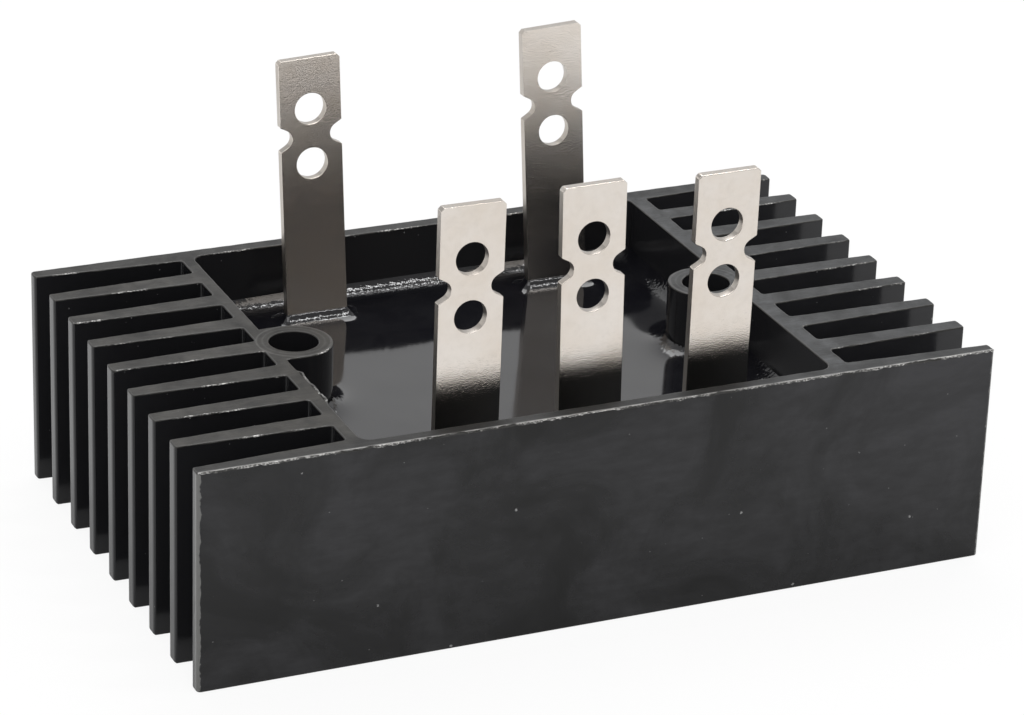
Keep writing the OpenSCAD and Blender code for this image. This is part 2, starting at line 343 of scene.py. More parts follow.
def finish_mesh(obj, angle):
    """Smooth shading up to the angle, with flat faces kept flat"""
    mesh = obj.data
    mesh.polygons.foreach_set("use_smooth", [True] * len(mesh.polygons))
    mesh.set_sharp_from_angle(angle=angle)
    flat = obj.modifiers.new("Flat faces", "WEIGHTED_NORMAL")
    flat.keep_sharp = True
    flat.weight = 100


def stand_in(obj, node):
    """obj takes the place of a CAD node in the look"""
    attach(obj, ROOT)
    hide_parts(node)


# ---- material helpers -------------------------------------------------------------


class Finish:
    """A node material under construction"""

    def __init__(self, name):
        self.material = bpy.data.materials.new(name)
        self.material.use_nodes = True
        self.tree = self.material.node_tree
        self.shader = self.tree.nodes["Principled BSDF"]
        self.place = self.node("ShaderNodeTexCoord").outputs["Object"]

    def node(self, kind, **values):
        """Adds a node and sets its properties and its unlinked inputs"""
        node = self.tree.nodes.new(kind)
        for key, value in values.items():
            if hasattr(node, key):
                setattr(node, key, value)
            else:
                node.inputs[key.replace("_", " ").title()].default_value = value
        return node

    def link(self, source, target):
        """Links an output to an input"""
        self.tree.links.new(source, target)

    def stretched(self, scale):
        """Object coordinates in millimetres, scaled along each axis"""
        mapping = self.node("ShaderNodeMapping")
        mapping.inputs["Scale"].default_value = [s / MM for s in scale]
        self.link(self.place, mapping.inputs["Vector"])
        return mapping.outputs["Vector"]

    def axes(self):
        """The X, Y and Z of the object's coordinates"""
        split = self.node("ShaderNodeSeparateXYZ")
        self.link(self.place, split.inputs["Vector"])
        return [split.outputs[axis] for axis in "XYZ"]

    def noise(self, scale, detail=3.0, roughness=0.55, distortion=0.0, at=None):
        """A noise whose scale is in cycles per millimetre of its coordinates"""
        node = self.node("ShaderNodeTexNoise")
        node.inputs["Scale"].default_value = scale
        node.inputs["Detail"].default_value = detail
        node.inputs["Roughness"].default_value = roughness
        node.inputs["Distortion"].default_value = distortion
        self.link(at or self.stretched((1, 1, 1)), node.inputs["Vector"])
        return node.outputs["Fac"]

    def ramp(self, source, low, high, to_low=0.0, to_high=1.0):
        """Maps low..high to to_low..to_high, held at both ends"""
        node = self.node("ShaderNodeMapRange")
        for key, value in zip(
            ("From Min", "From Max", "To Min", "To Max"), (low, high, to_low, to_high)
        ):
            node.inputs[key].default_value = value
        self.link(source, node.inputs["Value"])
        return node.outputs["Result"]

    def math(self, operation, a, b):
        """A math node on two values or sockets"""
        node = self.node("ShaderNodeMath", operation=operation)
        for socket, value in zip(node.inputs, (a, b)):
            if isinstance(value, (int, float)):
                socket.default_value = value
            else:
                self.link(value, socket)
        return node.outputs[0]

    def times(self, a, b):
        """The product of two values or sockets"""
        return self.math("MULTIPLY", a, b)

    def mix(self, factor, a, b):
        """Mixes two colours"""
        node = self.node("ShaderNodeMix", data_type="RGBA")
        self.link(factor, node.inputs["Factor"])
        for socket, value in ((node.inputs[6], a), (node.inputs[7], b)):
            if isinstance(value, bpy.types.NodeSocket):
                self.link(value, socket)
            else:
                socket.default_value = (*value, 1.0)
        return node.outputs[2]

    def bump(self, height, strength, distance):
        """Feeds a height to the shader's normal"""
        node = self.node("ShaderNodeBump")
        node.inputs["Strength"].default_value = strength
        node.inputs["Distance"].default_value = distance
        self.link(height, node.inputs["Height"])
        self.link(node.outputs["Normal"], self.shader.inputs["Normal"])

    def set(self, **values):
        """Sets or links the shader's inputs"""
        for key, value in values.items():
            socket = self.shader.inputs[key.replace("_", " ").title().replace("Ior", "IOR")]
            if isinstance(value, bpy.types.NodeSocket):
                self.link(value, socket)
            elif isinstance(value, (int, float)):
                socket.default_value = value
            else:
                socket.default_value = (*value, 1.0)
        return self.material


def specks(finish, spacing, size, share):
    """Specks of dust about size across, in a share of the cells of the given spacing"""
    node = finish.node("ShaderNodeTexVoronoi")
    node.inputs["Scale"].default_value = 1 / spacing
    finish.link(finish.stretched((1, 1, 1)), node.inputs["Vector"])
    pick = finish.node("ShaderNodeSeparateColor")
    finish.link(node.outputs["Color"], pick.inputs["Color"])
    part = size / spacing
    reach = finish.ramp(pick.outputs["Green"], 0.0, 1.0, 0.25 * part, 0.5 * part)
    uneven = finish.ramp(finish.noise(9.0), 0.3, 0.7, -0.2 * part, 0.2 * part)
    inside = finish.math("LESS_THAN", node.outputs["Distance"], finish.math("ADD", reach, uneven))
    return finish.times(inside, finish.math("LESS_THAN", pick.outputs["Red"], share))


# Colours of the drawn faces, by the place or the mark that has them
DRAWN_SHADES = {
    # inside: a lighter black than on the front face, painted light that lifts the shade in the fin gaps
    "inside": (0.014, 0.014, 0.0155),
    "behind the front wall": (0.038, 0.042, 0.046),
    "right fins": (0.028, 0.028, 0.031),
    "dust": (0.32, 0.32, 0.32),
    "worn corner": (0.15, 0.15, 0.145),
}


def black_drawn_finish(colours, lo, hi):
    """The drawn faces: glossy black finish with smudges and a painted sheen, a painted lift of light on
    the faces back from the front face, dust and a worn end corner
    """
    f = Finish("Black finish, drawn")
    cloud = f.noise(0.07, detail=5.0, roughness=0.6, distortion=0.8)
    fine = f.noise(1.6, detail=4.0, roughness=0.65)
    smear = f.noise(0.5, detail=4.0, roughness=0.6, at=f.stretched((0.5, 0.5, 1.6)))
    x, y, z = f.axes()
    inside = f.ramp(y, lo.y + 1.2 * MM, lo.y + 2.0 * MM)
    upper = f.ramp(z, 6 * MM, 24 * MM)
    film_and_sheen = f.times(f.ramp(cloud, 0.36, 0.6), f.ramp(smear, 0.35, 0.75, 0.5, 1.0))
    # Painted sheen: the haze is raised towards the top of the frame and towards both ends, most on the
    # right, standing in for reflected light; the rest of the haze is smudges
    ends = f.math("MAXIMUM", f.ramp(x, 8 * MM, 44 * MM), f.ramp(x, -20 * MM, -40 * MM, 0.0, 0.4))
    film_and_sheen = f.math("ADD", f.times(film_and_sheen, 0.8), f.times(f.times(ends, upper), 0.6))
    hazy = tuple(c + s for c, s in zip(colours.black_finish, (0.031, 0.031, 0.034)))
    base = f.mix(film_and_sheen, tuple(colours.black_finish), hazy)
    # Painted light: the faces back from the front face take a lighter black, which lifts the shade in
    # the fin gaps
    base = f.mix(inside, base, DRAWN_SHADES["inside"])
    behind = f.times(inside, f.ramp(y, lo.y + 2.2 * MM, lo.y + 2.6 * MM, 1.0, 0.0))
    base = f.mix(behind, base, DRAWN_SHADES["behind the front wall"])
    fins = f.times(f.ramp(x, 24 * MM, 31 * MM), inside)
    fins = f.times(fins, f.ramp(y, hi.y - 0.6 * MM, hi.y - 0.3 * MM, 1.0, 0.0))
    fins = f.times(fins, f.ramp(smear, 0.3, 0.7, 0.6, 1.0))
    base = f.mix(fins, base, DRAWN_SHADES["right fins"])
    fine_dust = f.times(specks(f, 1.6, 0.15, 0.4), 0.6)
    dust = f.math("MAXIMUM", specks(f, 4.5, 0.34, 0.7), fine_dust)
    rim = f.times(specks(f, 0.9, 0.15, 0.6), f.ramp(z, 23.7 * MM, 24.5 * MM))
    dust = f.math("MAXIMUM", dust, rim)
    base = f.mix(f.times(dust, 0.8), base, DRAWN_SHADES["dust"])
    at_front = f.ramp(y, lo.y + 0.7 * MM, lo.y + 1.0 * MM, 1.0, 0.0)
    left = f.ramp(x, lo.x + 0.1 * MM, lo.x + 0.75 * MM, 1.0, 0.0)
    right = f.ramp(x, hi.x - 0.9 * MM, hi.x - 0.1 * MM, 0.0, 0.85)
    corner = f.times(f.math("MAXIMUM", left, right), at_front)
    chips = f.noise(1.3, detail=5.0, roughness=0.7, at=f.stretched((1, 1, 0.6)))
    worn = f.ramp(f.math("ADD", f.times(chips, 1.2), corner), 1.2, 1.28)
    base = f.mix(worn, base, DRAWN_SHADES["worn corner"])
    rough = f.math("ADD", f.ramp(cloud, 0.35, 0.75, 0.1, 0.2), f.ramp(fine, 0.3, 0.7, -0.02, 0.03))
    f.bump(fine, 0.05, 0.03 * MM)
    return f.set(base_color=base, roughness=rough, ior=1.38)


def ring(finish, centre, radius, width):
    """1 on a thin circle about an upright axis, and 0 elsewhere"""
    away = finish.node("ShaderNodeVectorMath", operation="SUBTRACT")
    finish.link(finish.place, away.inputs[0])
    away.inputs[1].default_value = (centre.x, centre.y, 0)
    flat = finish.node("ShaderNodeVectorMath", operation="MULTIPLY")
    finish.link(away.outputs[0], flat.inputs[0])
    flat.inputs[1].default_value = (1, 1, 0)
    length = finish.node("ShaderNodeVectorMath", operation="LENGTH")
    finish.link(flat.outputs[0], length.inputs[0])
    off = finish.math("ABSOLUTE", finish.math("SUBTRACT", length.outputs["Value"], radius), 0.0)
    return finish.ramp(off, 0.4 * width, width, 1.0, 0.0)


# Tool marks on a boss's end: the radius of each fine line and how strongly it shows
BOSS_LINES = ((3.4 * MM, 0.03), (4.05 * MM, 0.06))


def black_sawn_finish(colours, lo, hi, bosses):
    """The sawn faces: mottled brown and grey, with cutting marks, nicks, a burred front edge and
    painted shade along the back
    """
    f = Finish("Black finish, sawn")
    patches = f.noise(0.3, detail=5.0, roughness=0.62, distortion=0.4)
    marks = f.noise(1.0, detail=4.0, roughness=0.65, at=f.stretched((0.5, 2.2, 1.0)))
    grain = f.noise(3.5, detail=4.0, roughness=0.7)
    nick = f.times(f.ramp(grain, 0.67, 0.73), f.ramp(patches, 0.54, 0.66))
    x, y, _ = f.axes()
    across = f.ramp(x, -34 * MM, 40 * MM)
    blue = tuple(c * s for c, s in zip(colours.sawn_finish, (1.05, 1.2, 1.5)))
    tone = f.mix(across, tuple(c * 0.92 for c in colours.sawn_finish), blue)
    web = f.times(f.ramp(x, 25 * MM, 26.5 * MM), f.ramp(x, 31 * MM, 29.5 * MM))
    tone = f.mix(web, tone, tuple(c * 1.7 for c in blue))
    # Painted shade: the top faces darken towards the back edge, where the narrow back wall's top takes
    # less light
    behind = f.ramp(y, hi.y - 2.2 * MM, hi.y - 1.6 * MM, 0.0, 0.45)
    tone = f.mix(behind, tone, tuple(c * 0.3 for c in blue))
    dark = f.mix(across, tuple(c * 0.12 for c in colours.sawn_finish), tuple(c * 0.3 for c in blue))
    mottle = f.math("ADD", f.ramp(patches, 0.33, 0.68, 0.0, 0.8), f.ramp(marks, 0.35, 0.7, -0.15, 0.45))
    base = f.mix(mottle, dark, tone)
    base = f.mix(f.times(nick, 0.3), base, tuple(colours.bare_metal))
    streaks = f.noise(1.0, detail=4.0, roughness=0.7, at=f.stretched((0.55, 4.5, 1.0)))
    on_wall = f.ramp(y, lo.y + 1.5 * MM, lo.y + 2.2 * MM, 0.6, 0.0)
    base = f.mix(on_wall, base, tuple(c * 0.2 for c in blue))
    at_front = f.ramp(y, lo.y + 0.25 * MM, lo.y + 0.5 * MM, 1.0, 0.0)
    burred = f.times(f.ramp(streaks, 0.4, 0.5, 0.2, 1.0), at_front)
    base = f.mix(f.times(burred, 0.55), base, tuple(colours.bare_metal))
    for centre in bosses:
        for radius, share in BOSS_LINES:
            line = f.times(ring(f, centre, radius, 0.16 * MM), share)
            base = f.mix(line, base, tuple(colours.bare_metal))
    rough = f.math("ADD", f.ramp(patches, 0.3, 0.7, 0.56, 0.4), f.ramp(marks, 0.3, 0.7, -0.07, 0.07))
    height = f.math("ADD", f.times(marks, 0.7), f.times(grain, 0.3))
    f.bump(height, 0.55, 0.08 * MM)
    return f.set(base_color=base, roughness=rough, ior=1.33)


def worn_edge_finish(colours):
    """The rounded edges: black finish, chipped to dull metal where the mesh's wear is high"""
    f = Finish("Black finish, worn edge")
    wear = f.node("ShaderNodeAttribute", attribute_name="wear").outputs["Fac"]
    chips = f.noise(1.9, detail=5.0, roughness=0.7)
    run = f.noise(0.35, detail=3.0, roughness=0.6)
    level = f.math("ADD", f.times(chips, 0.65), f.times(run, 0.35))
    bare = f.ramp(f.math("ADD", level, wear), 0.88, 1.05)
    bare = f.times(bare, f.ramp(f.noise(4.0, detail=2.0), 0.46, 0.6, 0.12, 1.0))
    metal = tuple(c * 0.75 for c in colours.bare_metal)
    base = f.mix(bare, tuple(c * 0.4 for c in colours.sawn_finish), metal)
    rough = f.ramp(bare, 0.0, 1.0, 0.34, 0.55)
    f.bump(chips, 0.4, 0.06 * MM)
    return f.set(base_color=base, roughness=rough, metallic=f.times(bare, 0.6), ior=1.5)


def resin_finish(colours):
    """Glossy black potting resin, dusty in places and finely wrinkled where it climbs"""
    f = Finish("Black potting resin")
    swell = f.noise(0.12, detail=2.0, roughness=0.5)
    fine = f.noise(2.2, detail=3.0, roughness=0.6)
    cloud = f.noise(0.25, detail=4.0, roughness=0.6, distortion=0.5)
    dust = f.math("MAXIMUM", specks(f, 3.0, 0.16, 0.5), specks(f, 7.0, 0.3, 0.4))
    hazy = tuple(c + 0.004 for c in colours.resin)
    base = f.mix(f.ramp(cloud, 0.4, 0.7), tuple(colours.resin), hazy)
    base = f.mix(f.times(dust, 0.3), base, (0.16, 0.16, 0.16))
    rough = f.math("ADD", f.ramp(fine, 0.3, 0.75, 0.05, 0.08), f.ramp(cloud, 0.4, 0.75, 0.0, 0.04))
    climb = f.node("ShaderNodeAttribute", attribute_name="climb").outputs["Fac"]
    wrinkle = f.times(f.noise(2.4, detail=1.0), f.ramp(climb, 0.1, 0.5, 0.0, 1.9))
    f.bump(f.math("ADD", swell, wrinkle), 0.2, 0.1 * MM)
    return f.set(base_color=base, roughness=rough, ior=1.55)


def nickel_finish(colours, name, shade, gloss):
    """Nickel plate, satin, with a fine grain and faint scratches"""
    f = Finish(name)
    grain = f.noise(6.5, detail=1.0, roughness=0.5)
    fine = f.noise(11.0, detail=2.0, roughness=0.6)
    tone = f.noise(0.22, detail=4.0, roughness=0.6)
    scratch = f.noise(1.0, detail=3.0, roughness=0.75, at=f.stretched((0.35, 5.0, 5.0)))
    dull = f.ramp(f.noise(1.1, detail=5.0, roughness=0.7), 0.45, 0.7)
    plate = tuple(c * shade for c in colours.nickel)
    warm = tuple(c * s for c, s in zip(plate, (0.95, 0.925, 0.89)))
    base = f.mix(f.ramp(tone, 0.35, 0.7), plate, warm)
    base = f.mix(f.times(dull, 0.2), base, tuple(c * 0.78 for c in warm))
    rough = f.ramp(tone, 0.3, 0.7, gloss - 0.02, gloss + 0.03)
    rough = f.math("ADD", rough, f.ramp(scratch, 0.4, 0.7, -0.01, 0.03))
    height = f.math("ADD", f.times(grain, 0.6), f.times(fine, 0.4))
    f.bump(height, 0.55, 0.05 * MM)
    return f.set(base_color=base, roughness=rough, metallic=1.0)


def grained_finish(name, colour, rough, metallic, scale, stretch=(1, 1, 1), depth=0.1):
    """A plain material with grain in its colour, gloss and surface"""
    f = Finish(name)
    grain = f.noise(scale, detail=4.0, roughness=0.65, at=f.stretched(stretch))
    dark = tuple(c * 0.8 for c in colour)
    base = f.mix(f.ramp(grain, 0.3, 0.7), dark, colour)
    f.bump(grain, depth, 0.05 * MM)
    return f.set(
        base_color=base,
        roughness=f.ramp(grain, 0.3, 0.7, rough - 0.06, rough + 0.06),
        metallic=metallic,
    )


# ---- frame ------------------------------------------------------------------------


def rim_wear(point, lo, hi):
    """How worn the frame's edge is at a point, from 0 to 1"""
    front = max(0.0, 1.0 - (point.y - lo.y) / (0.8 * MM))
    top = max(0.0, 1.0 - (hi.z - point.z) / (0.5 * MM))
    left = max(0.0, 1.0 - (point.x - lo.x) / (0.8 * MM))
    right = max(0.0, 1.0 - (hi.x - point.x) / (0.5 * MM))
    anywhere = 0.18
    return max(
        anywhere, 0.42 * front * top, 0.4 * front * left, 0.3 * left * top, 0.26 * right
    )


class RECTIFIER_OT_frame(bpy.types.Operator):
    """Build the finned frame with rounded, ragged rims"""

    bl_idname = "rectifier.frame"
    bl_label = "Finned Frame"

    # How far in from the end of the frame the solids' fins begin their tip cut
    tip_cut = (0.3 * MM, 0.4 * MM)
    # How far the finish moves that point towards the end
    tip_gain = 0.25 * MM
    # From the well's inner face to just past the roots of the gaps
    gap_root = 2.8 * MM
    # The burr's clusters, waves and spikes, each with its length
    cluster_length = 5 * MM
    wave_length = 1.2 * MM
    spike_length = 0.4 * MM
    # How near the front face the burr is half as large again, and where it stands up
    front_band = 0.5 * MM
    front_edge = 0.12 * MM
    # The saw's lip along the well's left edge: its X, and its ends in Y in millimetres
    lip_x = -27.3 * MM
    lip_ends = (-16.6, -7.2)

    def execute(self, context):
        sizes, colours, _ = settings()
        lo, hi = (Vector(c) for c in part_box("finned_frame"))
        bm = merged_solid("finned_frame", self.partings(lo, hi))
        self.square_tips(bm, lo, hi)
        tips = [e for e in sharp_edges(bm, SHARP) if self.is_tip(e, lo, hi)]
        round_edges(bm, tips, sizes.tip_round, 3)
        rims = [e for e in sharp_edges(bm, SHARP) if self.is_level(e)]
        middle = (lo.z + hi.z) / 2
        cut_edges(bm, [e for e in rims if e.verts[0].co.z > middle], sizes.rim_step)
        cut_edges(bm, [e for e in rims if e.verts[0].co.z < middle], sizes.rim_step * 3)
        rounded = set(round_edges(bm, sharp_edges(bm, SHARP), sizes.rim_round, 3))
        self.rag(bm, rounded, lo, hi, sizes.burr)
        self.sort_faces(bm, rounded)
        obj = new_object("finned_frame_finish", bm)
        bosses = [Vector(mount(n)["pos_m"]) for n in SCREW_HOLES]
        obj.data.materials.append(black_drawn_finish(colours, lo, hi))
        obj.data.materials.append(black_sawn_finish(colours, lo, hi, bosses))
        obj.data.materials.append(worn_edge_finish(colours))
        finish_mesh(obj, math.radians(40))
        stand_in(obj, "finned_frame")
        return {"FINISHED"}

    def square_tips(self, bm, lo, hi):
        """Makes the cut at each fin's tip shallow, so that the tip stays broad"""
        for vert in bm.verts:
            left, right = vert.co.x - lo.x, hi.x - vert.co.x
            inside = lo.y + 1 * MM < vert.co.y < hi.y - 1 * MM
            if inside and self.tip_cut[0] < min(left, right) < self.tip_cut[1]:
                vert.co.x += self.tip_gain if right < left else -self.tip_gain

    def is_level(self, edge):
        """Whether both ends of an edge are at one height"""
        a, b = (v.co for v in edge.verts)
        return abs(a.z - b.z) < 0.1 * MM

    def is_tip(self, edge, lo, hi):
        """Whether an upright edge is at the tip of a fin"""
        a, b = (v.co for v in edge.verts)
        inward = min(a.x - lo.x, hi.x - a.x)
        return abs(a.z - b.z) > (hi.z - lo.z) / 2 and inward < 1 * MM

    def partings(self, lo, hi):
        """Planes that part the flat ends into pieces without holes"""
        middle = (lo + hi) / 2
        well_lo, well_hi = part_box("base_plate")
        return (
            (middle, (0, 1, 0)),
            ((well_lo[0] - self.gap_root, 0, 0), (1, 0, 0)),
            ((well_hi[0] + self.gap_root, 0, 0), (1, 0, 0)),
        )

    def rag(self, bm, rounded, lo, hi, burr):
        """Stores the wear and makes the top rims ragged, with every flat face kept flat"""
        layer = bm.verts.layers.float.new("wear")
        bm.normal_update()
        for vert in bm.verts:
            near = [f for f in vert.link_faces if f in rounded]
            out = sum((f.normal for f in near), Vector())
            out.z = 0
            wear = rim_wear(vert.co, lo, hi)
            if near and out.length > 0.1 and vert.co.z > (lo.z + hi.z) / 2:
                out.normalize()
                wear += self.rough_up(vert, rounded, out, lo.y, burr)
            vert[layer] = wear

    def rough_up(self, vert, rounded, out, front, burr):
        """Gives a point of the top rims its share of the burr, and returns its extra wear"""
        facing = max(0.0, -out.y)
        cluster = max(0.0, noise.noise(vert.co / self.cluster_length) + 0.15) * facing
        wave = noise.noise(vert.co / self.wave_length)
        spike = noise.noise(vert.co / self.spike_length + Vector((7, 3, 5)))
        spike = max(0.0, spike + 0.2)
        at_front = vert.co.y < front + self.front_band
        size = burr * (0.3 + 0.7 * facing) * (1.5 if at_front else 1.0)
        distance = min(size * (0.5 * wave + 3.0 * cluster * spike), burr)
        lip = self.lip(vert.co, out)
        distance += lip * (0.32 + 0.2 * wave) * MM
        self.push(vert, rounded, out, distance)
        if vert.co.y < front + self.front_edge and self.is_free(vert, rounded):
            vert.co.z += burr * max(0.0, 0.4 + 0.6 * wave + 0.4 * spike)
        return 0.7 * cluster + 0.25 * lip

    def lip(self, point, out):
        """How much of the saw's lip is left at a point of the well's left edge, from 0 to 1"""
        if out.x < 0.7 or abs(point.x - self.lip_x) > 1 * MM:
            return 0.0
        start, end = self.lip_ends
        return min(1.0, max(0.0, min(point.y / MM - start, end - point.y / MM)))

    def is_free(self, vert, rounded):
        """Whether a point lies within the rounding, on no flat face"""
        return all(face in rounded for face in vert.link_faces)

    def push(self, vert, rounded, out, distance):
        """Moves a point of the rounding in the ways that the flat faces on it allow"""
        flats = [f.normal.z for f in vert.link_faces if f not in rounded]
        on_end = any(z > 0.9 for z in flats)
        on_side = any(z < 0.5 for z in flats)
        if not on_side:
            vert.co += out * distance * (0.6 if on_end else 1.0)
        if not on_end:
            vert.co.z += distance * (0.6 if on_side else 0.3)

    def sort_faces(self, bm, rounded):
        """Gives drawn, sawn and rounded faces their own materials"""
        for face in bm.faces:
            if face in rounded:
                face.material_index = 2
            elif abs(face.normal.z) > 0.9:
                face.material_index = 1
            else:
                face.material_index = 0


# ---- resin ------------------------------------------------------------------------


def mount(name):
    """One mount of the record"""
    return next(m for m in frame["record"]["mounts"] if m["name"] == name)


def strip_lines():
    """For each terminal: a point on its middle line, and its upward and sideways directions"""
    lines = []
    for name in TERMINALS:
        upper = Vector(mount(name + "_upper_hole")["pos_m"])
        lower = Vector(mount(name + "_lower_hole")["pos_m"])
        up = (upper - lower).normalized()
        normal = Vector(mount(name + "_upper_hole")["axis"])
        lines.append((lower, up, up.cross(normal).normalized()))
    return lines


class RECTIFIER_OT_resin(bpy.types.Operator):
    """Build the resin with its meniscus"""

    bl_idname = "rectifier.resin"
    bl_label = "Potting Resin"

    boss_radius = 4.3 * MM
    # Half the width and half the thickness of a strip
    strip_half = (3.65 * MM, 0.5 * MM)
    # Height of the flat resin
    level = 17.5 * MM
    # The climb at a boss, as a share of the climb at a wall
    boss_share = 0.7
    # The most that climbs in a corner, as a share of the larger rise
    corner_share = 1.15

    def execute(self, context):
        sizes, colours, _ = settings()
        lo, hi = (Vector(c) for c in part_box("epoxy_potting"))
        bosses = [Vector(mount(n)["pos_m"]).xy for n in SCREW_HOLES]
        exits = self.strip_exits()
        bm = bmesh.new()
        span = hi - lo
        cuts = [int(span[i] / sizes.resin_step) for i in (0, 1)]
        bmesh.ops.create_grid(bm, x_segments=cuts[0], y_segments=cuts[1], size=0.5)
        bmesh.ops.scale(bm, vec=(span.x, span.y, 1), verts=bm.verts)
        centre = (lo + hi) / 2
        bmesh.ops.translate(bm, vec=(centre.x, centre.y, self.level), verts=bm.verts)
        self.clear_bosses(bm, bosses, lo, hi, sizes.resin_step)
        layer = bm.verts.layers.float.new("climb")
        for vert in bm.verts:
            lift = self.rise(vert.co, lo, hi, bosses, exits, sizes)
            vert[layer] = lift / MM
            vert.co.z += lift
        self.close_below(bm, lo.z)
        bmesh.ops.recalc_face_normals(bm, faces=bm.faces)
        obj = new_object("epoxy_potting_finish", bm)
        obj.data.materials.append(resin_finish(colours))
        obj.data.polygons.foreach_set("use_smooth", [True] * len(obj.data.polygons))
        obj.data.set_sharp_from_angle(angle=math.radians(60))
        stand_in(obj, "epoxy_potting")
        return {"FINISHED"}

    def strip_exits(self):
        """Where each terminal comes out of the resin, with its sideways direction"""
        exits = []
        for point, up, side in strip_lines():
            foot = point + up * ((self.level - point.z) / up.z)
            exits.append((foot.xy, side.xy.normalized()))
        return exits

    def boss_distance(self, point, boss, lo, hi):
        """Distance of a point outside a boss, which is a half round on a straight tongue"""
        inward = 1.0 if boss.x < (lo.x + hi.x) / 2 else -1.0
        along = (point.x - boss.x) * inward
        across = abs(point.y - boss.y)
        if along < 0:
            return across - self.boss_radius
        return math.hypot(along, across) - self.boss_radius

    def clear_bosses(self, bm, bosses, lo, hi, step):
        """Takes the grid out of the bosses and lays its new edge on them"""
        inside = []
        for vert in bm.verts:
            nearest = min(self.boss_distance(vert.co, b, lo, hi) for b in bosses)
            if nearest < -0.5 * step:
                inside.append(vert)
        bmesh.ops.delete(bm, geom=inside, context="VERTS")
        for vert in bm.verts:
            for boss in bosses:
                gap = self.boss_distance(vert.co, boss, lo, hi)
                if gap < 0.5 * step and vert.is_boundary:
                    inward = 1.0 if boss.x < (lo.x + hi.x) / 2 else -1.0
                    along = (vert.co.x - boss.x) * inward
                    if along < 0:
                        vert.co.y -= math.copysign(gap, vert.co.y - boss.y)
                    else:
                        away = (vert.co.xy - boss).normalized()
                        vert.co.x -= away.x * gap
                        vert.co.y -= away.y * gap

    def rise(self, point, lo, hi, bosses, exits, sizes):
        """How far the meniscus lifts the surface at a point"""
        walls = (point.x - lo.x, hi.x - point.x, point.y - lo.y, hi.y - point.y)
        lift = sum(self.climb(d, sizes.wall_rise, sizes.wall_reach) for d in walls)
        for boss in bosses:
            gap = self.boss_distance(point, boss, lo, hi)
            lift += self.climb(gap, sizes.wall_rise * self.boss_share, sizes.wall_reach)
        for foot, side in exits:
            offset = point.xy - foot
            across = abs(offset.dot(side)) - self.strip_half[0]
            deep = abs(offset.dot(Vector((-side.y, side.x)))) - self.strip_half[1]
            gap = math.hypot(max(across, 0), max(deep, 0))
            lift += self.climb(gap, sizes.strip_rise, sizes.strip_reach)
        flat = Vector((point.x, point.y, 0))
        ripple = noise.noise(flat / (9 * MM))
        bead = noise.noise(flat / (0.9 * MM) + Vector((4, 8, 1)))
        top = max(sizes.wall_rise, sizes.strip_rise) * self.corner_share
        return min(lift, top) * (1 + 0.1 * ripple + 0.012 * bead) + 0.03 * MM * ripple

    def climb(self, distance, height, reach):
        """A meniscus height that dies away with the distance from a wall"""
        return height * math.exp(-max(distance, 0.0) / reach)

    def close_below(self, bm, floor_z):
        """Closes the body of the resin down to its flat underside"""
        rim = [e for e in bm.edges if e.is_boundary]
        made = bmesh.ops.extrude_edge_only(bm, edges=rim)
        low_verts = [v for v in made["geom"] if isinstance(v, bmesh.types.BMVert)]
        for vert in low_verts:
            vert.co.z = floor_z
        low_edges = [e for e in bm.edges if e.is_boundary]
        bmesh.ops.triangle_fill(bm, use_beauty=True, use_dissolve=True, edges=low_edges)


# ---- terminals and the closed-in circuit ------------------------------------------


class RECTIFIER_OT_terminals(bpy.types.Operator):
    """Build the five stamped terminals with rounded edges and a slight bow"""

    bl_idname = "rectifier.terminals"
    bl_label = "Terminals"

    # How far the top of each back strip is bowed backward, above the height bow_start
    bows = {"dc_plus_terminal": -0.12 * MM, "dc_minus_terminal": 0.05 * MM}
    bow_start = 20 * MM
    bow_steps = 18
    # The leaning strips' edges are sharp where their faces meet at more than this
    sharp = math.radians(25)

    def execute(self, context):
        sizes, colours, _ = settings()
        # The back strips take a brighter copy of the plate than the front strips (1.06 against 0.97):
        # painted light
        satin = nickel_finish(colours, "Nickel plate, satin", 0.97, 0.12)
        dull = nickel_finish(colours, "Nickel plate, dull", 1.06, 0.19)
        sheared = nickel_finish(colours, "Nickel plate, sheared edge", 0.72, 0.36)
        # The top and bottom faces take a darker copy of the plate: painted shade, which holds down the
        # lamps' reflection on the tops
        cropped = nickel_finish(colours, "Nickel plate, cropped end, painted shade", 0.5, 0.36)
        for node in TERMINALS:
            bow = self.bows.get(node, 0.0)
            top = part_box(node)[1][2]
            cuts = []
            if bow:
                step = (top - self.bow_start) / self.bow_steps
                rows = [self.bow_start + step * k for k in range(self.bow_steps)]
                cuts = [((0, 0, z), (0, 0, 1)) for z in rows]
            bm = merged_solid(node, cuts)
            edges = sharp_edges(bm, self.sharp)
            rounded = set(round_edges(bm, edges, sizes.strip_round, 3))
            self.bend(bm, bow, top)
            bm.normal_update()
            for face in bm.faces:
                # Upright side faces take the sheared edge; top and bottom faces take the darker copy,
                # as painted shade
                if face not in rounded and abs(face.normal.y) < 0.5:
                    face.material_index = 2 if abs(face.normal.z) > 0.7 else 1
            obj = new_object(node + "_finish", bm)
            obj.data.materials.append(dull if bow else satin)
            obj.data.materials.append(sheared)
            obj.data.materials.append(cropped)
            finish_mesh(obj, math.radians(50))
            stand_in(obj, node)
        return {"FINISHED"}

    def bend(self, bm, bow, top):
        """Bows a strip backward above the resin, by the given amount at its top"""
        for vert in bm.verts:
            part = max(0.0, vert.co.z - self.bow_start) / (top - self.bow_start)
            vert.co.y += bow * part * part


